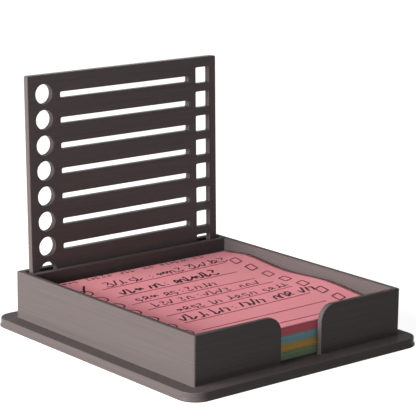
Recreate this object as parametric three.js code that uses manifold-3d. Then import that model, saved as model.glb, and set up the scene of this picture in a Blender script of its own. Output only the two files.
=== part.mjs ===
// Sticky note organizer: a printed tray holding four pads of square notes, with a
// marking stencil standing in a slot along its rear edge.
// Millimetres, +Z up, +X to the right along the notched front, +Y to the rear.
// The origin is the middle of the underside that rests on the desk.
import * as THREE from 'three';
import { mergeVertices } from 'three/addons/utils/BufferGeometryUtils.js';
import Module from 'manifold-3d';

const wasm = await Module();
wasm.setup();

// Notes
const noteSide = 76;
const noteThickness = 0.2;
const gluedBand = 14;
const padFrontHeight = 2.5;
const gluedSwell = 0.3;
const paperAir = 0.05;
const creaseGap = 0.3;
const padColours = { green: 0x6f9a6a, yellow: 0xd9b13f, blue: 0x7fb4c4, pink: 0xe2919b };

// Tray
const padSideGap = 0.95;
const padFrontGap = 1.1;
const padRearGap = 2.4;
const wall = 1.8;
const slotWall = 2.1;
const wallHeight = 15.1;
const wallCornerRadius = 0.5;
const wallSink = 1;
const notchWidth = 15.8;
const notchRadius = 5;

// Base plate under the walls
const baseThickness = 2.8;
const baseCornerRadius = 5.75;
const sideMargin = 5;
const frontMargin = 5.2;
const rearMargin = 5.75;
const footFlare = 0.4;
const footHeight = 1;
// The squashed first layers: how high up the foot, and how much of the flare is left there
const footShares = [[0, 0.5], [0.3, 1], [0.65, 0.7], [1, 0]];

// Stencil and its slot
const stencilHeight = 76.7;
const stencilThickness = 2;
const stencilSideGap = 1.2;
const slotClearance = 0.4;
const leanRoom = 0.4;
const lipDepth = 0.7;
// The lip along the top of the rear face: its height and depth, from its foot up
const lipShares = [[0, 0], [0.7, 1], [1, 0.8]];
const rowMargin = 2.9;
const rowBridge = 1.85;
const circleDiameter = 6.25;
const circleEdgeMargin = 2.95;
const squareWidth = 5.55;
const squareHeight = 5.35;
const squareCornerRadius = 0.4;
const squareEdgeMargin = 2.9;
const columnBridge = 3.1;
const lineHeight = 1.95;
const lineCornerRadius = 0.5;
const lineDrop = 0.85;

// How far a cutting shape runs past the face that it cuts
const overrun = 1;

// Facets of round stretches
const cornerSteps = 8;
const edgeSteps = 2;
const circleSteps = 14;

// Places that follow from the sizes above
const slotWidth = stencilThickness + 2 * slotClearance + leanRoom;
const bayWidth = noteSide + 2 * padSideGap;
const bayDepth = noteSide + padFrontGap + padRearGap;
const trayWidth = bayWidth + 2 * wall;
const trayDepth = wall + bayDepth + 2 * slotWall + slotWidth;
const baseWidth = trayWidth + 2 * sideMargin;
const baseDepth = trayDepth + frontMargin + rearMargin;
const trayFront = frontMargin - baseDepth / 2;
const bayFront = trayFront + wall;
const padFront = bayFront + padFrontGap;
const padRear = padFront + noteSide;
const slotFront = bayFront + bayDepth + slotWall;
const rimHeight = baseThickness + wallHeight;
const lean = Math.atan(leanRoom / wallHeight);
const stencilWidth = bayWidth - 2 * stencilSideGap;

// Solids and meshes

function toSolid(geometry) {
  const bare = geometry.clone();
  bare.deleteAttribute('normal');
  bare.deleteAttribute('uv');
  const merged = mergeVertices(bare);
  return new wasm.Manifold(new wasm.Mesh({
    numProp: 3,
    vertProperties: Float32Array.from(merged.attributes.position.array),
    triVerts: Uint32Array.from(merged.index.array),
  }));
}

function toGeometry(solid) {
  const mesh = solid.getMesh();
  const geometry = new THREE.BufferGeometry();
  geometry.setAttribute('position', new THREE.BufferAttribute(mesh.vertProperties, mesh.numProp));
  geometry.setIndex(new THREE.BufferAttribute(mesh.triVerts, 1));
  const flat = geometry.toNonIndexed();
  flat.computeVertexNormals();
  return flat;
}

function part(name, geometry, material) {
  const mesh = new THREE.Mesh(geometry, material);
  mesh.name = name;
  return mesh;
}

function printedPlastic() {
  return new THREE.MeshStandardMaterial({ color: 0x4a4140, roughness: 0.5, metalness: 0 });
}

function paper(colour) {
  return new THREE.MeshStandardMaterial({ color: colour, roughness: 0.9, metalness: 0 });
}

// Outlines

function rectangle(left, bottom, right, top, cornerRadius, Kind = THREE.Shape) {
  const radius = Math.min(cornerRadius, (right - left) / 2, (top - bottom) / 2);
  const outline = new Kind();
  outline.moveTo(left + radius, bottom);
  outline.lineTo(right - radius, bottom);
  outline.absarc(right - radius, bottom + radius, radius, -Math.PI / 2, 0);
  outline.lineTo(right, top - radius);
  outline.absarc(right - radius, top - radius, radius, 0, Math.PI / 2);
  outline.lineTo(left + radius, top);
  outline.absarc(left + radius, top - radius, radius, Math.PI / 2, Math.PI);
  outline.lineTo(left, bottom + radius);
  outline.absarc(left + radius, bottom + radius, radius, Math.PI, 1.5 * Math.PI);
  return outline;
}

function sharpRectangle(left, bottom, right, top) {
  const outline = new THREE.Path();
  outline.moveTo(left, bottom);
  outline.lineTo(right, bottom);
  outline.lineTo(right, top);
  outline.lineTo(left, top);
  outline.closePath();
  return outline;
}

function upright(outline, height, curveSegments) {
  return new THREE.ExtrudeGeometry(outline, { depth: height, bevelEnabled: false, curveSegments });
}

// An outline drawn in X and Z, standing up and reaching back from y = 0
function standing(outline, depth, curveSegments) {
  const geometry = upright(outline, depth, curveSegments);
  geometry.rotateX(Math.PI / 2);
  geometry.translate(0, depth, 0);
  return geometry;
}

// An outline drawn in Y and Z, reaching across the part about x = 0
function across(outline, width) {
  const geometry = upright(outline, width, 1);
  const turn = new THREE.Matrix4().makeBasis(
    new THREE.Vector3(0, 1, 0),
    new THREE.Vector3(0, 0, 1),
    new THREE.Vector3(1, 0, 0),
  );
  geometry.applyMatrix4(turn);
  geometry.translate(-width / 2, 0, 0);
  return geometry;
}

// One turn around a rounded rectangle, with the same number of points at every size
function roundedTurn(halfWidth, halfDepth, radius) {
  const points = [];
  for (const [right, up, start] of [[1, 1, 0], [-1, 1, 0.5], [-1, -1, 1], [1, -1, 1.5]]) {
    for (let step = 0; step <= cornerSteps; step += 1) {
      const angle = (start + step / cornerSteps / 2) * Math.PI;
      const x = right * (halfWidth - radius) + radius * Math.cos(angle);
      const y = up * (halfDepth - radius) + radius * Math.sin(angle);
      points.push(new THREE.Vector2(x, y));
    }
  }
  return points;
}

// A plate whose rounded outline grows and shrinks from level to level
function steppedPlate(width, depth, radius, levels) {
  const positions = [];
  const indices = [];
  let outline = [];
  for (const { grow, height } of levels) {
    outline = roundedTurn(width / 2 + grow, depth / 2 + grow, radius + grow);
    for (const point of outline) {
      positions.push(point.x, point.y, height);
    }
  }
  const count = outline.length;
  for (let level = 0; level + 1 < levels.length; level += 1) {
    for (let i = 0; i < count; i += 1) {
      const next = (i + 1) % count;
      const low = level * count;
      const high = low + count;
      indices.push(low + i, low + next, high + next);
      indices.push(low + i, high + next, high + i);
    }
  }
  const top = (levels.length - 1) * count;
  for (const [a, b, c] of THREE.ShapeUtils.triangulateShape(outline, [])) {
    indices.push(top + a, top + b, top + c);
    indices.push(a, c, b);
  }
  const geometry = new THREE.BufferGeometry();
  geometry.setAttribute('position', new THREE.Float32BufferAttribute(positions, 3));
  geometry.setIndex(indices);
  return geometry;
}

// Tray: base plate with its squashed first layers, walls, slot and finger notch

function basePlate() {
  const levels = footShares.map(([heightShare, flareShare]) => {
    return { grow: footFlare * flareShare, height: footHeight * heightShare };
  });
  levels.push({ grow: 0, height: baseThickness });
  return toSolid(steppedPlate(baseWidth, baseDepth, baseCornerRadius, levels));
}

function wallRing() {
  const half = trayWidth / 2;
  const outline = rectangle(-half, trayFront, half, trayFront + trayDepth, wallCornerRadius);
  outline.holes.push(sharpRectangle(wall - half, bayFront, half - wall, bayFront + bayDepth));
  outline.holes.push(sharpRectangle(wall - half, slotFront, half - wall, slotFront + slotWidth));
  const ring = upright(outline, wallHeight + wallSink, edgeSteps);
  ring.translate(0, 0, baseThickness - wallSink);
  return toSolid(ring);
}

function notchCut() {
  const half = notchWidth / 2;
  const radius = Math.min(notchRadius, wallHeight);
  const outline = new THREE.Shape();
  outline.moveTo(half, baseThickness - wallSink - overrun);
  outline.lineTo(half, rimHeight - radius);
  outline.absarc(half + radius, rimHeight - radius, radius, Math.PI, Math.PI / 2, true);
  outline.lineTo(half + radius, rimHeight + overrun);
  outline.lineTo(-half - radius, rimHeight + overrun);
  outline.lineTo(-half - radius, rimHeight);
  outline.absarc(-half - radius, rimHeight - radius, radius, Math.PI / 2, 0, true);
  outline.lineTo(-half, baseThickness - wallSink - overrun);
  outline.closePath();
  const cut = standing(outline, wall + 2 * overrun, cornerSteps);
  cut.translate(0, trayFront - overrun, 0);
  return toSolid(cut);
}

function tray() {
  const walls = wallRing().subtract(notchCut());
  return part('tray', toGeometry(basePlate().add(walls)), printedPlastic());
}

// Stencil: rows of a circle, a line and a square, with a small lip along the top of
// its rear face. It stands on the floor of its slot and leans back in the slot's play.

// Heights of the row centres, as many rows as the plate has room for
function stencilRows() {
  const pitch = circleDiameter + rowBridge;
  const rows = [];
  let height = stencilHeight - rowMargin - circleDiameter / 2;
  while (height - circleDiameter / 2 > rowMargin / 2) {
    rows.push(height);
    height -= pitch;
  }
  return rows;
}

function stencilPlate() {
  const half = stencilWidth / 2;
  const outline = rectangle(-half, 0, half, stencilHeight, wallCornerRadius);
  const circleRight = circleEdgeMargin + circleDiameter - half;
  const squareLeft = half - squareEdgeMargin - squareWidth;
  for (const height of stencilRows()) {
    const rim = new THREE.Path();
    rim.absarc(circleRight - circleDiameter / 2, height, circleDiameter / 2, 0, 2 * Math.PI);
    const circle = new THREE.Path(rim.getPoints(circleSteps));
    const line = rectangle(
      circleRight + columnBridge,
      height - lineDrop - lineHeight / 2,
      squareLeft - columnBridge,
      height - lineDrop + lineHeight / 2,
      lineCornerRadius,
      THREE.Path,
    );
    const square = rectangle(
      squareLeft,
      height - squareHeight / 2,
      squareLeft + squareWidth,
      height + squareHeight / 2,
      squareCornerRadius,
      THREE.Path,
    );
    outline.holes.push(circle, line, square);
  }
  return toSolid(standing(outline, stencilThickness, edgeSteps));
}

function stencilLip() {
  const foot = stencilHeight - rowMargin;
  const profile = new THREE.Shape();
  profile.moveTo(stencilThickness / 2, foot);
  for (const [heightShare, depthShare] of lipShares) {
    profile.lineTo(stencilThickness + lipDepth * depthShare, foot + rowMargin * heightShare);
  }
  profile.lineTo(stencilThickness / 2, stencilHeight);
  profile.closePath();
  return toSolid(across(profile, stencilWidth - 2 * wallCornerRadius));
}

function stencil() {
  const plate = part('stencil', toGeometry(stencilPlate().add(stencilLip())), printedPlastic());
  plate.position.set(0, slotFront + slotClearance, baseThickness + slotClearance);
  plate.rotation.x = -lean;
  return plate;
}

// Pads: each one is a little thicker along its glued rear edge, so the stack rises
// towards the rear

function stackHeightAt(share, padsBelow) {
  return baseThickness + padsBelow * (padFrontHeight + gluedSwell * share) + paperAir;
}

// A slice of the stack between two depths, resting on so many pads
function slice(front, rear, padsBelow, thicknessAtFront, thicknessAtRear) {
  const low = stackHeightAt((front - padFront) / noteSide, padsBelow);
  const high = stackHeightAt((rear - padFront) / noteSide, padsBelow);
  const profile = new THREE.Shape();
  profile.moveTo(front, low);
  profile.lineTo(rear, high);
  profile.lineTo(rear, high + thicknessAtRear);
  profile.lineTo(front, low + thicknessAtFront);
  profile.closePath();
  return across(profile, noteSide);
}

function pads() {
  const frontHeight = padFrontHeight - paperAir;
  const rearHeight = frontHeight + gluedSwell;
  return Object.entries(padColours).map(([colour, value], index) => {
    const block = slice(padFront, padRear, index, frontHeight, rearHeight);
    return part(`${colour}_pad`, block, paper(value));
  });
}

// Top note: its glued band stays on the pink pad, the rest lifts

function topNote() {
  const padCount = Object.keys(padColours).length;
  const crease = padRear - gluedBand;
  const band = slice(crease, padRear, padCount, noteThickness, noteThickness);
  const flap = slice(padFront, crease - creaseGap, padCount, noteThickness, noteThickness);
  return [
    part('top_note_glued_band', band, paper(padColours.pink)),
    part('top_note_flap', flap, paper(padColours.pink)),
  ];
}

const organizer = new THREE.Group();
organizer.add(tray(), stencil(), ...pads(), ...topNote());

export default organizer;
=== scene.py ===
# Sticky note organizer: a printed tray with four pads of notes and a marking stencil in its slot.
# The dictionaries hold millimetres, and mm turns them into Blender's metres.
import bmesh
import bpy
import math
import random
from mathutils import Matrix, Vector


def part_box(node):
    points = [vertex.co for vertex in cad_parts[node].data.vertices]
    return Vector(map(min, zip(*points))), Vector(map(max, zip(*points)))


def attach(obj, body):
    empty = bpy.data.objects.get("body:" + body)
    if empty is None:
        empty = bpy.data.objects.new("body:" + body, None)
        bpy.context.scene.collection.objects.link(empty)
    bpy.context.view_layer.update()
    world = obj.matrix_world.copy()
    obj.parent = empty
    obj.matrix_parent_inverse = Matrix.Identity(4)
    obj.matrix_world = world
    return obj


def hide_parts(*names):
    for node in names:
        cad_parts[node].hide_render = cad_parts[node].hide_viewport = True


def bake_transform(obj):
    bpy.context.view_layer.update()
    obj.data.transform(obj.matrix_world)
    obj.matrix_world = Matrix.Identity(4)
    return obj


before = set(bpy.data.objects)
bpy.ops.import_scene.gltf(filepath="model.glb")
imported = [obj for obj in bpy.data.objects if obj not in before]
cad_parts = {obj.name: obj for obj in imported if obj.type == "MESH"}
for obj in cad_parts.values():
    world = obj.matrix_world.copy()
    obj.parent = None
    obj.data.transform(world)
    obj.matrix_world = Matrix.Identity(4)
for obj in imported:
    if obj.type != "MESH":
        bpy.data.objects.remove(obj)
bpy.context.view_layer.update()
mm = 0.001
rng = random.Random(7)

# Camera first: the picture is taken as 416 x 416, so the 36 mm sensor is both its width and its height
cameraView = {
    "azimuth": -39.84,  # degrees, round to the left of the front
    "elevation": 13.18,
    "roll": 0.57,
    "lens": 161.95,
    "distance": 586.7,
    "across": 0.8,  # how far the view's middle passes the tray's middle
    "up": 39.7,
    "trayMiddle": (0, -0.43, 0),
}


def placeCamera(view):
    azimuth = math.radians(view["azimuth"])
    elevation = math.radians(view["elevation"])
    level = math.cos(elevation)
    back = Vector((math.sin(azimuth) * level, -math.cos(azimuth) * level, math.sin(elevation)))
    right = Vector((math.cos(azimuth), math.sin(azimuth), 0))
    right.rotate(Matrix.Rotation(math.radians(view["roll"]), 3, back))
    up = back.cross(right)
    spot = Vector(view["trayMiddle"]) + right * view["across"] + up * view["up"] + back * view["distance"]
    data = bpy.data.cameras.new("camera")
    data.lens = view["lens"]
    data.sensor_width = 36
    data.clip_start = 0.01
    data.clip_end = 20
    camera = bpy.data.objects.new("camera", data)
    bpy.context.scene.collection.objects.link(camera)
    camera.matrix_world = Matrix.Translation(spot * mm) @ Matrix((right, up, back)).transposed().to_4x4()
    bpy.context.scene.camera = camera


placeCamera(cameraView)
print("camera placed")


# Small helpers for meshes

def newObject(name, mesh):
    piece = bpy.data.objects.new(name, mesh)
    bpy.context.scene.collection.objects.link(piece)
    return piece


def meshFrom(name, vertices, faces):
    mesh = bpy.data.meshes.new(name)
    mesh.from_pydata([[value * mm for value in vertex] for vertex in vertices], [], faces)
    mesh.validate()
    return mesh


def settle(piece):
    # Applies every modifier, so that the finished mesh is the piece's own
    evaluated = piece.evaluated_get(bpy.context.evaluated_depsgraph_get())
    mesh = bpy.data.meshes.new_from_object(evaluated)
    piece.modifiers.clear()
    piece.data = mesh
    return piece


def roundedRectangle(left, low, right, high, radius, steps=6):
    points = []
    for quarter, cornerX, cornerY in ((0, right, high), (1, left, high), (2, left, low), (3, right, low)):
        centreX = cornerX + (radius if cornerX == left else -radius)
        centreY = cornerY + (radius if cornerY == low else -radius)
        for step in range(steps + 1):
            angle = (quarter + step / steps) * math.pi / 2
            points.append((centreX + radius * math.cos(angle), centreY + radius * math.sin(angle)))
    return points


def circleOutline(centreX, centreY, radius, steps):
    angles = [2 * math.pi * step / steps for step in range(steps)]
    return [(centreX + radius * math.cos(angle), centreY + radius * math.sin(angle)) for angle in angles]


def outlineSolid(name, outlines, low, high):
    # A filled flat outline with holes, pulled up from one height to the other
    curve = bpy.data.curves.new(name, "CURVE")
    curve.dimensions = "2D"
    curve.fill_mode = "BOTH"
    curve.extrude = (high - low) / 2 * mm
    for outline in outlines:
        spline = curve.splines.new("POLY")
        spline.points.add(len(outline) - 1)
        for point, (x, y) in zip(spline.points, outline):
            point.co = (x * mm, y * mm, 0, 1)
        spline.use_cyclic_u = True
    drawn = newObject(name + "Outline", curve)
    bpy.context.view_layer.update()
    mesh = bpy.data.meshes.new_from_object(drawn.evaluated_get(bpy.context.evaluated_depsgraph_get()))
    bpy.data.objects.remove(drawn)
    shape = bmesh.new()
    shape.from_mesh(mesh)
    bmesh.ops.remove_doubles(shape, verts=shape.verts, dist=0.002 * mm)
    bmesh.ops.translate(shape, verts=shape.verts, vec=(0, 0, (low + high) / 2 * mm))
    bmesh.ops.recalc_face_normals(shape, faces=shape.faces)
    shape.to_mesh(mesh)
    shape.free()
    return newObject(name, mesh)


def loft(name, rings):
    # Rings of equally many points, joined in order and closed at both ends
    count = len(rings[0])
    vertices = [point for ring in rings for point in ring]
    faces = [list(reversed(range(count)))]
    for level in range(len(rings) - 1):
        for i in range(count):
            j = (i + 1) % count
            below = level * count
            above = below + count
            faces.append((below + i, below + j, above + j, above + i))
    faces.append(list(range((len(rings) - 1) * count, len(rings) * count)))
    return newObject(name, meshFrom(name, vertices, faces))


def combine(piece, tool, operation):
    modifier = piece.modifiers.new("combine", "BOOLEAN")
    modifier.operation = operation
    modifier.solver = "EXACT"
    modifier.object = tool
    settle(piece)
    bpy.data.objects.remove(tool)
    return piece


def roundEdges(piece, radius, segments=3, sharperThan=32):
    # Printed edges are never knife sharp: the nozzle's bead leaves a small radius on each
    bevel = piece.modifiers.new("bevel", "BEVEL")
    bevel.width = radius * mm
    bevel.segments = segments
    bevel.limit_method = "ANGLE"
    bevel.angle_limit = math.radians(sharperThan)
    bevel.use_clamp_overlap = False
    smoothFaces(piece)
    piece.modifiers.new("weighted", "WEIGHTED_NORMAL").keep_sharp = True
    return settle(piece)


def smoothFaces(piece):
    for face in piece.data.polygons:
        face.use_smooth = True


# Small helpers for materials

def linearColour(code):
    channels = [int(code[i:i + 2], 16) / 255 for i in (1, 3, 5)]
    return [c / 12.92 if c <= 0.04045 else ((c + 0.055) / 1.055) ** 2.4 for c in channels] + [1]


def addNode(tree, kind, settings=None, links=None):
    node = tree.nodes.new(kind)
    for name, value in (settings or {}).items():
        if isinstance(name, int) or name in node.inputs:
            node.inputs[name].default_value = value
        else:
            setattr(node, name, value)
    for name, source in (links or {}).items():
        tree.links.new(source, node.inputs[name])
    return node


def newMaterial(name):
    material = bpy.data.materials.new(name)
    material.use_nodes = True
    material.node_tree.nodes.clear()
    return material, material.node_tree


# PLA, melted and laid down bead by bead by a printer. Standing walls show the layers as level lines,
# flat faces show the beads as a slanting hatch. The plastic is a satin, very dark grey-brown.
# The sizes of layer and bead are guesses, because the photo is too coarse to show single ones.
pla = {
    "colour": "#5b5555",
    "darkBead": "#544d4e",
    "roughness": 0.27,
    "specular": 0.07,
    "hatchRoughness": 0.6,  # the hatched faces are duller, because their fine ridges scatter the light
    "hatchSpecular": 0.06,
    "layer": 0.5,  # two layers of 0.25 mm, so that they show at this picture's scale
    "bead": 0.8,  # two beads of 0.4 mm
    "streakLength": 40,
    "relief": 0.025,
}

# The stencil's large faces get more shine than the tray's flat ones, to be as bright as in the photo
stencilLook = {**pla, "hatchRoughness": 0.4, "hatchSpecular": 0.16}


def stretchedNoise(tree, vector, across, along, axis):
    # Noise that changes quickly across the lines and slowly along them
    scale = [1 / (along * mm)] * 3
    scale[axis] = 1 / (across * mm)
    mapped = addNode(tree, "ShaderNodeMapping", {"Scale": scale}, {"Vector": vector})
    return addNode(tree, "ShaderNodeTexNoise", {"Scale": 1, "Detail": 3, "Roughness": 0.6},
                   {"Vector": mapped.outputs["Vector"]}).outputs["Fac"]


def makePrintedPla(name, look, hatchTurn, layersUp=True):
    material, tree = newMaterial(name)
    place = addNode(tree, "ShaderNodeTexCoord").outputs["Object"]
    normal = addNode(tree, "ShaderNodeNewGeometry").outputs["Normal"]
    facing = addNode(tree, "ShaderNodeSeparateXYZ", links={0: normal})
    stacked = facing.outputs["Z"] if layersUp else facing.outputs["Y"]
    flat = addNode(tree, "ShaderNodeMath", {"operation": "ABSOLUTE"}, {0: stacked})
    isFlat = addNode(tree, "ShaderNodeMapRange", {"From Min": 0.6, "From Max": 0.9},
                     {"Value": flat.outputs[0]})
    turned = addNode(tree, "ShaderNodeMapping", {"Rotation": hatchTurn}, {"Vector": place})
    layers = stretchedNoise(tree, place, look["layer"], look["streakLength"], 2 if layersUp else 1)
    beads = stretchedNoise(tree, turned.outputs["Vector"], look["bead"], look["streakLength"], 0)
    lines = addNode(tree, "ShaderNodeMix", {"data_type": "FLOAT"},
                    {0: isFlat.outputs[0], 2: layers, 3: beads}).outputs[0]
    strength = addNode(tree, "ShaderNodeMapRange", {"From Min": 0.3, "From Max": 0.7}, {"Value": lines})
    colour = addNode(tree, "ShaderNodeMix", {"data_type": "RGBA", 6: linearColour(look["darkBead"]),
                                             7: linearColour(look["colour"])}, {0: strength.outputs[0]})
    relief = addNode(tree, "ShaderNodeBump", {"Strength": 1, "Distance": look["relief"] * mm},
                     {"Height": lines})
    roughness = addNode(tree, "ShaderNodeMapRange",
                        {"To Min": look["roughness"], "To Max": look["hatchRoughness"]},
                        {"Value": isFlat.outputs[0]})
    specular = addNode(tree, "ShaderNodeMapRange",
                       {"To Min": look["specular"], "To Max": look["hatchSpecular"]},
                       {"Value": isFlat.outputs[0]})
    shader = addNode(tree, "ShaderNodeBsdfPrincipled", {"IOR": 1.46},
                     {"Base Color": colour.outputs[2], "Normal": relief.outputs["Normal"],
                      "Roughness": roughness.outputs[0], "Specular IOR Level": specular.outputs[0]})
    addNode(tree, "ShaderNodeOutputMaterial", links={"Surface": shader.outputs["BSDF"]})
    return material


# Note paper: dyed, uncoated wood-pulp paper. It's matt, with a soft mottle of fibres about 0.4 mm across.
# The cut edges of a pad have colours of their own, set by how they look in the notch: partly the deeper
# colour of the stacked sheets, partly painted light, made brighter to stand in for light that glows through
# the paper into the shaded notch.
papers = {
    "green": {"face": "#8fc08a", "cut": "#a8c299"},
    "yellow": {"face": "#f2cc55", "cut": "#ecc573"},
    "blue": {"face": "#97c9d8", "cut": "#9accd5"},
    "pink": {"face": "#f4a0ab", "cut": "#ec7d89"},
}
paperFinish = {
    "fibre": 0.4,
    "mottle": 0.05,
    "cutMottle": 0.15,
    "roughness": 0.85,
    "specular": 0.25,
    "sheet": 0.35,
    "sheetLength": 30,
    "relief": 0.02,
}


def makeNotePaper(name, code, finish, cutEdge=False):
    material, tree = newMaterial(name)
    place = addNode(tree, "ShaderNodeTexCoord").outputs["Object"]
    if cutEdge:
        pattern = stretchedNoise(tree, place, finish["sheet"], finish["sheetLength"], 2)
    else:
        pattern = addNode(tree, "ShaderNodeTexNoise", {"Scale": 1 / (finish["fibre"] * mm), "Detail": 4},
                          {"Vector": place}).outputs["Fac"]
    spread = finish["cutMottle"] if cutEdge else finish["mottle"]
    light = addNode(tree, "ShaderNodeMapRange", {"From Min": 0.3, "From Max": 0.7, "To Min": 1 - spread,
                                                 "To Max": 1 + spread}, {"Value": pattern})
    colour = addNode(tree, "ShaderNodeVectorMath", {"operation": "SCALE", 0: linearColour(code)[:3]},
                     {"Scale": light.outputs[0]})
    relief = addNode(tree, "ShaderNodeBump", {"Strength": 0.5, "Distance": finish["relief"] * mm},
                     {"Height": pattern})
    shader = addNode(tree, "ShaderNodeBsdfPrincipled",
                     {"Roughness": finish["roughness"], "Specular IOR Level": finish["specular"]},
                     {"Base Color": colour.outputs[0], "Normal": relief.outputs["Normal"]})
    addNode(tree, "ShaderNodeOutputMaterial", links={"Surface": shader.outputs["BSDF"]})
    return material


# Pen ink soaked into the paper: thin lines let the pink show through and look red
inks = {"marker": "#2a1216", "pen": "#6b2630", "fineliner": "#a03646"}


def makeInk(name, code):
    material, tree = newMaterial(name)
    place = addNode(tree, "ShaderNodeTexCoord").outputs["Object"]
    blots = addNode(tree, "ShaderNodeTexNoise", {"Scale": 1 / (1.5 * mm), "Detail": 2}, {"Vector": place})
    light = addNode(tree, "ShaderNodeMapRange", {"To Min": 0.7, "To Max": 1.4},
                    {"Value": blots.outputs["Fac"]})
    colour = addNode(tree, "ShaderNodeVectorMath", {"operation": "SCALE", 0: linearColour(code)[:3]},
                     {"Scale": light.outputs[0]})
    shader = addNode(tree, "ShaderNodeBsdfPrincipled", {"Roughness": 0.7, "Specular IOR Level": 0.2},
                     {"Base Color": colour.outputs[0]})
    addNode(tree, "ShaderNodeOutputMaterial", links={"Surface": shader.outputs["BSDF"]})
    return material


trayPla = makePrintedPla("printedPlaTray", pla, (0, 0, math.radians(45)))
stencilPla = makePrintedPla("printedPlaStencil", stencilLook, (0, math.radians(90), 0), layersUp=False)
faceOf = {}
cutWithPaintedGlowOf = {}
for paperColour, code in papers.items():
    faceOf[paperColour] = makeNotePaper(paperColour + "NotePaper", code["face"], paperFinish)
    # The cut-edge material carries painted light: its colour is brightened to stand in for light glowing
    # through the stacked sheets
    cutWithPaintedGlowOf[paperColour] = makeNotePaper(paperColour + "CutPaperWithPaintedGlow", code["cut"], paperFinish, True)
print("materials made")


# Tray: base plate with squashed first layers, walls, slot and finger notch in one print
tray = {
    "baseThickness": 2.8,
    "baseCornerRadius": 5.75,
    "flare": 0.4,
    # The plate's side from the desk up: height, and how far it stands out
    "side": [(0, 0.2), (0.3, 0.4), (0.65, 0.28), (1, 0),
             (2.45, 0), (2.65, -0.06), (2.76, -0.17), (2.8, -0.34)],
    "frontMargin": 5.2,
    "sideMargin": 5,
    "wall": 1.8,
    "slotWall": 2.1,
    "wallSink": 1,
    "wallCornerRadius": 0.5,
    "bayWidth": 77.9,
    "bayDepth": 79.5,
    "slot": 3.2,
    "notchWidth": 15.8,
    "notchRadius": 5,
    "edgeRadius": 0.28,
    "overrun": 1,
    "plateCornerSteps": 14,
    "wallCornerSteps": 5,
    "notchSteps": 12,
}


def buildTray(dims):
    low, high = (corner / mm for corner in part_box("tray"))
    halfWidth = high.x - dims["flare"]
    halfDepth = high.y - dims["flare"]
    base = dims["baseThickness"]
    rings = []
    for height, grow in dims["side"]:
        radius = dims["baseCornerRadius"] + grow
        outline = roundedRectangle(-halfWidth - grow, -halfDepth - grow, halfWidth + grow, halfDepth + grow,
                                   radius, dims["plateCornerSteps"])
        rings.append([(x, y, height) for x, y in outline])
    piece = loft("printedTray", rings)
    wall = dims["wall"]
    wide = halfWidth - dims["sideMargin"]
    front = dims["frontMargin"] - halfDepth
    bayFront = front + wall
    bayRear = bayFront + dims["bayDepth"]
    slotFront = bayRear + dims["slotWall"]
    slotRear = slotFront + dims["slot"]
    inner = wide - wall
    walls = outlineSolid("walls", [
        roundedRectangle(-wide, front, wide, slotRear + dims["slotWall"], dims["wallCornerRadius"],
                         dims["wallCornerSteps"]),
        [(-inner, bayFront), (inner, bayFront), (inner, bayRear), (-inner, bayRear)],
        [(-inner, slotFront), (inner, slotFront), (inner, slotRear), (-inner, slotRear)],
    ], base - dims["wallSink"], high.z)
    half = dims["notchWidth"] / 2
    radius = dims["notchRadius"]
    over = dims["overrun"]
    arc = [math.radians(90 * step / dims["notchSteps"]) for step in range(dims["notchSteps"] + 1)]
    right = [(half + radius - radius * math.cos(a), high.z - radius + radius * math.sin(a)) for a in arc]
    outline = [(half, base - dims["wallSink"] - over)] + right + [(half + radius, high.z + over)]
    outline += [(-x, z) for x, z in reversed(outline)]
    cut = outlineSolid("notch", [outline], -over, wall + over)
    cut.data.transform(Matrix.Translation((0, (front + wall) * mm, 0)) @ Matrix.Rotation(math.pi / 2, 4, "X"))
    combine(walls, cut, "DIFFERENCE")
    combine(piece, walls, "UNION")
    roundEdges(piece, dims["edgeRadius"])
    piece.data.materials.clear()
    piece.data.materials.append(trayPla)
    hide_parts("tray")
    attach(piece, "tray")
    return piece


buildTray(tray)
print("tray built")


# Stencil: rows of a circle, a line and a square. Its top edge is squashed out backwards into a small
# lip, as happens when a plate is printed standing on that edge.
stencil = {
    "height": 76.7,
    "thickness": 2,
    "sideGap": 1.2,
    "clearance": 0.4,
    "leanRoom": 0.4,
    "wallHeight": 15.1,
    "cornerRadius": 0.5,
    "cornerSteps": 4,
    "rowMargin": 2.9,
    "pitch": 8.1,
    "rows": 9,
    "circleDiameter": 6.25,
    "circleMargin": 2.95,
    "circleSides": 28,
    "squareWidth": 5.55,
    "squareHeight": 5.35,
    "squareMargin": 2.9,
    "squareCornerRadius": 0.45,
    "bridge": 3.1,
    "lineHeight": 1.95,
    "lineDrop": 0.85,
    "lineCornerRadius": 0.5,
    "edgeRadius": 0.16,
    # The lip at the top of the rear face: height below the top edge, and how far it stands out
    "lip": [(2.9, 0), (2, 0.3), (1, 0.62), (0.4, 0.68), (0.1, 0.6), (0, 0.4)],
}


def stencilPlace(dims):
    # Where the plate's lower front edge stands, leaning back in its slot
    trayFront = tray["frontMargin"] + tray["flare"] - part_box("tray")[1].y / mm
    slotFront = trayFront + tray["wall"] + tray["bayDepth"] + tray["slotWall"]
    lean = math.atan(dims["leanRoom"] / dims["wallHeight"])
    foot = Vector((0, slotFront + dims["clearance"], tray["baseThickness"] + dims["clearance"]))
    return Matrix.Translation(foot * mm) @ Matrix.Rotation(-lean, 4, "X")


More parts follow.
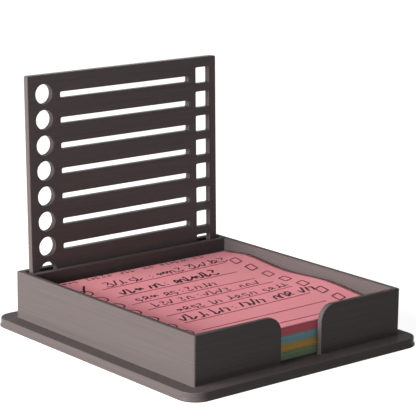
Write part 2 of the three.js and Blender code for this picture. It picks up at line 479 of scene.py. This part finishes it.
def buildStencil(dims):
    half = tray["bayWidth"] / 2 - dims["sideGap"]
    radius = dims["circleDiameter"] / 2
    circleX = dims["circleMargin"] + radius - half
    squareLeft = half - dims["squareMargin"] - dims["squareWidth"]
    outlines = [roundedRectangle(-half, 0, half, dims["height"], dims["cornerRadius"],
                                 dims["cornerSteps"])]
    for row in range(dims["rows"]):
        height = dims["height"] - dims["rowMargin"] - radius - row * dims["pitch"]
        outlines.append(circleOutline(circleX, height, radius, dims["circleSides"]))
        middle = height - dims["lineDrop"]
        outlines.append(roundedRectangle(circleX + radius + dims["bridge"], middle - dims["lineHeight"] / 2,
                                         squareLeft - dims["bridge"], middle + dims["lineHeight"] / 2,
                                         dims["lineCornerRadius"], dims["cornerSteps"]))
        outlines.append(roundedRectangle(squareLeft, height - dims["squareHeight"] / 2,
                                         squareLeft + dims["squareWidth"], height + dims["squareHeight"] / 2,
                                         dims["squareCornerRadius"], dims["cornerSteps"]))
    piece = outlineSolid("printedStencil", outlines, -dims["thickness"], 0)
    piece.data.transform(Matrix.Rotation(math.pi / 2, 4, "X"))
    inset = dims["cornerRadius"] + dims["edgeRadius"]
    profile = [(dims["thickness"] + out, dims["height"] - drop) for drop, out in dims["lip"]]
    middle = dims["thickness"] / 2
    profile += [(middle, dims["height"]), (middle, dims["height"] - dims["lip"][0][0])]
    ends = [[(x, y, z) for y, z in profile] for x in (inset - half, half - inset)]
    combine(piece, loft("lip", ends), "UNION")
    roundEdges(piece, dims["edgeRadius"], segments=2, sharperThan=40)
    piece.data.transform(stencilPlace(dims))
    piece.data.materials.clear()
    piece.data.materials.append(stencilPla)
    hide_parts("stencil")
    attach(piece, "stencil")
    return piece


buildStencil(stencil)
print("stencil built")


# Pads: blocks of loose sheets, glued along the rear edge, where they are a little thicker
pads = {
    "order": ["green", "yellow", "blue", "pink"],
    "side": 76,
    "front": -41.725,
    "padHeight": 2.5,
    "swell": 0.3,
    "air": 0.05,
    "sheets": 24,
    "ragged": 0.1,  # how far a sheet may stand back from its neighbours
    "leastFace": 1000,  # in square mm: a larger level face is a sheet's face, not a cut edge
    "grooveShare": 0.15,  # share of a sheet's height that is the gap to the next one
}


def stackHeight(y, padsBelow):
    share = (y - pads["front"]) / pads["side"]
    return tray["baseThickness"] + padsBelow * (pads["padHeight"] + pads["swell"] * share) + pads["air"]


def buildPad(colour, padsBelow, dims):
    rings = []
    for sheet in range(dims["sheets"]):
        left, front, right, rear = (rng.uniform(0, dims["ragged"]) for side in range(4))
        leftX = left - dims["side"] / 2
        rightX = dims["side"] / 2 - right
        frontY = dims["front"] + front
        rearY = dims["front"] + dims["side"] - rear
        corners = [(leftX, frontY), (rightX, frontY), (rightX, rearY), (leftX, rearY)]
        for level in (sheet + dims["grooveShare"] / 2, sheet + 1 - dims["grooveShare"] / 2):
            share = level / dims["sheets"]
            ring = []
            for x, y in corners:
                bottom = stackHeight(y, padsBelow)
                top = stackHeight(y, padsBelow + 1) - dims["air"]
                ring.append((x, y, bottom * (1 - share) + top * share))
            rings.append(ring)
    piece = loft(colour + "Pad", rings)
    piece.data.materials.append(cutWithPaintedGlowOf[colour])
    piece.data.materials.append(faceOf[colour])
    for face in piece.data.polygons:
        level = abs(face.normal.z) > 0.9
        face.material_index = 1 if level and face.area > dims["leastFace"] * mm ** 2 else 0
    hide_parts(colour + "_pad")
    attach(piece, colour + "_pad")
    return piece


for padsBelow, padColour in enumerate(pads["order"]):
    buildPad(padColour, padsBelow, pads)
print("pads built")


# Top note: one sheet of the pink pad, held at its glued rear band, with its right half gone wavy
note = {
    "thickness": 0.12,
    "gluedBand": 14,
    "columns": 44,
    "rows": 88,  # small cells along Y, where the sheet bends
    "lift": 0.06,
    "wave": 0.55,  # half the height of the wave along the right edge
    "waveLength": 41,
    "waveLow": 4.5,  # where along Y the wave is lowest
    "waveGrowth": 2.2,  # how fast the wave fades from the right edge to the left
    "rearFade": 12,
    "bend": 22,  # length of the bend in front of the glued band when the note is peeled up
}


def noteHeight(x, y):
    side = pads["side"]
    across = min(1, max(0, (x + side / 2) / side)) ** note["waveGrowth"]
    fade = min(1, max(0, (pads["front"] + side - y) / note["rearFade"]))
    fade = fade * fade * (3 - 2 * fade)
    turn = 2 * math.pi * (y - note["waveLow"]) / note["waveLength"]
    top = stackHeight(y, len(pads["order"]))
    return top + note["lift"] + across * fade * note["wave"] * (1 - math.cos(turn))


def peels(piece):
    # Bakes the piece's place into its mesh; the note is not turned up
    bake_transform(piece)


def buildTopNote(dims):
    columns = dims["columns"]
    rows = dims["rows"]
    vertices = []
    for row in range(rows + 1):
        for column in range(columns + 1):
            x = column / columns * pads["side"] - pads["side"] / 2
            y = pads["front"] + row / rows * pads["side"]
            vertices.append((x, y, noteHeight(x, y)))
    faces = []
    for row in range(rows):
        for column in range(columns):
            i = row * (columns + 1) + column
            faces.append((i, i + 1, i + columns + 2, i + columns + 1))
    piece = newObject("pinkTopNote", meshFrom("pinkTopNote", vertices, faces))
    thick = piece.modifiers.new("thickness", "SOLIDIFY")
    thick.thickness = dims["thickness"] * mm
    thick.offset = 1
    smoothFaces(piece)
    settle(piece)
    piece.data.materials.append(faceOf["pink"])
    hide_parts("top_note_glued_band", "top_note_flap")
    peels(piece)
    return piece


buildTopNote(note)
print("top note built")


# Marks on the note. The lines, circles and boxes were drawn by hand through the stencil. The rows of
# writing are made of loose strokes that say nothing.
marks = {
    # Each ruled row from the rear: the line's place along Y, its left end, its right end and its box's middle
    "ruledRows": [
        (20.8, -24.2, 26, 20.5),
        (11.5, -25.6, 22.9, 12.6),
        (2.7, -26.5, 23, 4.3),
        (-4.4, -26, 24.6, -3.9),
        (-12.8, -25.5, 25, -12.3),
        (-21.2, -25.4, 25, -21),
        (-29.5, -25.4, 24.2, -28.7),
        (-37.9, -25, 25, -36.5),
    ],
    "lineWidth": 0.5,
    "boxX": 30.1,
    "boxAcross": (3.4, 1.1),  # the box's edges lean, because they were drawn by hand
    "boxAlong": (0.7, 4.3),
    "boxWidth": 0.55,
    "circleX": -31.4,
    "circleRadius": 2.6,
    "circleSteps": 28,
    "inkHeight": 0.03,
    "inkSoak": 0.025,
    "step": 0.8,
    "wobble": 0.15,  # how far a ruled line's right end strays
    "slant": 0.18,
    "signSize": 1.2,
    "strayShares": (0.1, 0.06),  # as shares of the distance between signs and of their height
    "sizeShares": (0.85, 1.1),  # smallest and largest sign
    "curveSteps": 4,
    # Each row of writing: baseline along Y, height, pen width, distance between signs, and its words' ends
    "writing": [
        (31.7, 2.1, 0.3, 2.1, [(-31, -25), (-22, -12), (-8.5, -2), (1, 5), (8, 20), (22, 27)]),
        (22, 4.3, 0.52, 2.75, [(-21.4, -13.5), (-11.5, -6.4), (-0.6, 10), (12, 27.9)]),
        (12.7, 4.3, 0.74, 2.6, [(-22.4, -13.5), (-11, -6), (-1.3, 16.5)]),
        (4, 4, 0.5, 2.9, [(-23.1, -14), (-12, -7), (-3, 9.2)]),
        (-3.2, 3.3, 0.48, 2.7, [(-22, -13.5), (-11.5, -6), (-2, 9), (12.5, 21.2)]),
        (-11.6, 3.6, 0.5, 2.8, [(-19.1, -9), (-6.5, -2), (0.5, 13), (15, 25.4)]),
        (-20, 4.8, 0.72, 3, [(-24.5, -15), (-12, -6), (-1, 9), (12, 20), (22.5, 29.8)]),
    ],
    "colons": [(-3.2, 22.6), (-4.3, 13.4), (-5.2, 4.8), (-3.8, -2.4), (-3.6, -18.8)],
    "colonRise": 1.7,
    "dotSize": 0.5,
    "tick": [(-31.9, 23.6), (-31, 21.3), (-28.8, 24.6), (-26.6, 27.4)],
    "tickWidth": 0.75,
}

# Signs of the squiggled writing, as pen strokes in shares of the sign's height
signShares = [
    [[(0.05, 0.95), (0.1, 0.3), (0.02, 0.05), (0.2, 0.02), (0.5, 0.3)]],
    [[(0, 0), (0.08, 0.5), (0.3, 0.6), (0.4, 0.15), (0.58, 0.05)]],
    [[(0, 0.3), (0.12, 0.6), (0.24, 0.15), (0.38, 0.55), (0.55, 0.25)]],
    [[(0.4, 0.95), (0.28, 0.15), (0, 0.1)], [(0.5, 0.4), (0.58, 0.1)]],
    [[(0, 0.08), (0.4, 0.45), (0.22, 0.72), (0.06, 0.4), (0.5, 0.08)]],
    [[(0.16, 0.7), (0, 0.05)], [(0.3, 0.55), (0.5, 0.5), (0.42, 0)]],
    [[(0.45, 0.55), (0.1, 0.6), (0.12, 0.25), (0.45, 0.2), (0.3, -0.1)]],
    [[(0, 0.55), (0.2, 0.05), (0.45, 0.7), (0.52, 0.95)]],
    [[(0.05, 0.85), (0.4, 0.8), (0.2, 0.4)], [(0, 0.15), (0.25, 0), (0.5, 0.15)]],
]


def strokeInto(vertices, faces, path, width):
    # One pen stroke as a closed flat band that follows the note
    first = len(vertices)
    count = len(path)
    for i, (x, y) in enumerate(path):
        before = path[max(0, i - 1)]
        after = path[min(count - 1, i + 1)]
        along = Vector((after[0] - before[0], after[1] - before[1]))
        along = along.normalized() if along.length > 0 else Vector((1, 0))
        side = Vector((-along.y, along.x)) * width / 2
        surface = noteHeight(x, y) + note["thickness"]
        soak = -marks["inkSoak"]
        film = marks["inkHeight"]
        for sign, height in ((1, soak), (-1, soak), (-1, film), (1, film)):
            vertices.append((x + sign * side.x, y + sign * side.y, surface + height))
    for i in range(count - 1):
        for k in range(4):
            a = first + i * 4
            faces.append((a + k, a + 4 + k, a + 4 + (k + 1) % 4, a + (k + 1) % 4))
    last = first + (count - 1) * 4
    faces.append((first, first + 1, first + 2, first + 3))
    faces.append((last + 3, last + 2, last + 1, last))


def straight(start, end, step):
    count = max(1, math.ceil(math.dist(start, end) / step))
    return [(start[0] + (end[0] - start[0]) * i / count, start[1] + (end[1] - start[1]) * i / count)
            for i in range(count + 1)]


def curved(points, steps):
    # A smooth pen line through the points
    ends = [points[0]] + list(points) + [points[-1]]
    path = []
    for a, b, c, d in zip(ends, ends[1:], ends[2:], ends[3:]):
        for step in range(steps):
            t = step / steps
            weights = (-t + 2 * t ** 2 - t ** 3, 2 - 5 * t ** 2 + 3 * t ** 3,
                       t + 4 * t ** 2 - 3 * t ** 3, t ** 3 - t ** 2)
            path.append(tuple(sum(weight * point[k] for weight, point in zip(weights, (a, b, c, d))) / 2
                              for k in (0, 1)))
    return path + [points[-1]]


def squiggledWord(left, right, baseline, height, spacing):
    # Signs side by side, each with its own small change of size and place, leaning forward
    strokes = []
    strayX, strayY = marks["strayShares"]
    count = max(1, round((right - left) / spacing))
    for i in range(count):
        signX = left + (right - left) * i / count + rng.uniform(-strayX, strayX) * spacing
        signY = baseline + rng.uniform(-strayY, strayY) * height
        tall = height * marks["signSize"] * rng.uniform(*marks["sizeShares"])
        for shares in rng.choice(signShares):
            strokes.append([(signX + (x + y * marks["slant"]) * tall, signY + y * tall) for x, y in shares])
    return strokes


def inkPiece(name, code, vertices, faces):
    piece = newObject(name, meshFrom(name, vertices, faces))
    shape = bmesh.new()
    shape.from_mesh(piece.data)
    bmesh.ops.recalc_face_normals(shape, faces=shape.faces)
    shape.to_mesh(piece.data)
    shape.free()
    piece.data.materials.append(makeInk(name + "Ink", code))
    peels(piece)
    return piece


def buildRuling(dims):
    vertices, faces = [], []
    for lineY, left, right, boxY in dims["ruledRows"]:
        wobble = rng.uniform(-dims["wobble"], dims["wobble"])
        path = straight((left, lineY), (right, lineY + wobble), dims["step"])
        strokeInto(vertices, faces, path, dims["lineWidth"])
    return inkPiece("ruledLines", inks["fineliner"], vertices, faces)


def buildTickBoxes(dims):
    vertices, faces = [], []
    across = Vector(dims["boxAcross"]) / 2
    along = Vector(dims["boxAlong"]) / 2
    for row in dims["ruledRows"]:
        boxY = row[-1]
        circle = circleOutline(dims["circleX"], boxY, dims["circleRadius"], dims["circleSteps"])
        strokeInto(vertices, faces, circle + circle[:2], dims["boxWidth"])
        middle = Vector((dims["boxX"], boxY))
        corners = [middle - across - along, middle + across - along,
                   middle + across + along, middle - across + along]
        for start, end in zip(corners, corners[1:] + corners[:1]):
            strokeInto(vertices, faces, straight(start, end, dims["step"]), dims["boxWidth"])
    return inkPiece("tickBoxes", inks["pen"], vertices, faces)


def buildWriting(dims):
    vertices, faces = [], []
    for baseline, height, width, spacing, words in dims["writing"]:
        for left, right in words:
            for stroke in squiggledWord(left, right, baseline, height, spacing):
                strokeInto(vertices, faces, curved(stroke, dims["curveSteps"]), width)
    dot = dims["dotSize"]
    for x, y in dims["colons"]:
        for rise in (0, dims["colonRise"]):
            strokeInto(vertices, faces, [(x, y + rise), (x + dot, y + rise)], dot)
    strokeInto(vertices, faces, curved(dims["tick"], dims["curveSteps"]), dims["tickWidth"])
    return inkPiece("writtenSquiggles", inks["marker"], vertices, faces)


buildRuling(marks)
buildTickBoxes(marks)
buildWriting(marks)
print("marks drawn")


# Studio: pale floor, two softboxes on the left, a faint one in front and a faint sky
studio = {
    "lowSoftbox": {"place": (-884, 20, 180), "aim": (0, 0, 15),
                   "size": (460, 280), "power": 13, "colour": "#fffaf6"},
    "highSoftbox": {"place": (-780, 140, 430), "aim": (0, 0, 15),
                    "size": (620, 300), "power": 7.5, "colour": "#fffaf6"},
    "frontSoftbox": {"place": (-500, -720, 240), "aim": (0, 0, 15),
                     "size": (400, 300), "power": 0.6, "colour": "#ffffff"},
    "sky": 0.03,
    "skyColour": "#f4f2ff",
    "floor": "#b4b2b0",
    "floorGlow": 0.93,
    "floorSize": 6000,
}


def addSoftbox(name, look):
    data = bpy.data.lights.new(name, "AREA")
    data.shape = "RECTANGLE"
    data.size, data.size_y = (length * mm for length in look["size"])
    data.energy = look["power"]
    data.color = linearColour(look["colour"])[:3]
    lamp = bpy.data.objects.new(name, data)
    bpy.context.scene.collection.objects.link(lamp)
    lamp.location = Vector(look["place"]) * mm
    lamp.rotation_euler = (Vector(look["place"]) - Vector(look["aim"])).to_track_quat("Z", "Y").to_euler()


def seenDirectly(tree):
    # One for what the camera sees itself, in a shiny surface or through glass, and zero for light
    rays = addNode(tree, "ShaderNodeLightPath")
    seen = addNode(tree, "ShaderNodeMath", {"operation": "MAXIMUM"},
                   {0: rays.outputs["Is Camera Ray"], 1: rays.outputs["Is Glossy Ray"]})
    return addNode(tree, "ShaderNodeMath", {"operation": "MAXIMUM"},
                   {0: seen.outputs[0], 1: rays.outputs["Is Transmission Ray"]})


def buildFloor(look):
    half = look["floorSize"] / 2
    corners = [(-half, -half, 0), (half, -half, 0), (half, half, 0), (-half, half, 0)]
    floor = newObject("floor", meshFrom("floor", corners, [(0, 1, 2, 3)]))
    material, tree = newMaterial("paleFloor")
    seen = seenDirectly(tree)
    glow = addNode(tree, "ShaderNodeMath", {"operation": "MULTIPLY", 1: look["floorGlow"]},
                   {0: seen.outputs[0]})
    shader = addNode(tree, "ShaderNodeBsdfPrincipled",
                     {"Base Color": linearColour(look["floor"]), "Roughness": 0.9, "Specular IOR Level": 0.1,
                      "Emission Color": (1, 1, 1, 1)}, {"Emission Strength": glow.outputs[0]})
    addNode(tree, "ShaderNodeOutputMaterial", links={"Surface": shader.outputs["BSDF"]})
    floor.data.materials.append(material)


def buildSky(look):
    world = bpy.data.worlds.new("sky")
    bpy.context.scene.world = world
    world.use_nodes = True
    tree = world.node_tree
    tree.nodes.clear()
    seen = seenDirectly(tree)
    light = addNode(tree, "ShaderNodeBackground",
                    {"Color": linearColour(look["skyColour"]), "Strength": look["sky"]})
    white = addNode(tree, "ShaderNodeBackground", {"Color": (1, 1, 1, 1), "Strength": 1})
    mixed = addNode(tree, "ShaderNodeMixShader",
                    links={0: seen.outputs[0], 1: light.outputs[0], 2: white.outputs[0]})
    addNode(tree, "ShaderNodeOutputWorld", links={"Surface": mixed.outputs[0]})


for softbox in ("lowSoftbox", "highSoftbox", "frontSoftbox"):
    addSoftbox(softbox, studio[softbox])
buildFloor(studio)
buildSky(studio)
bpy.context.scene.view_settings.view_transform = "Standard"
print("studio lit")
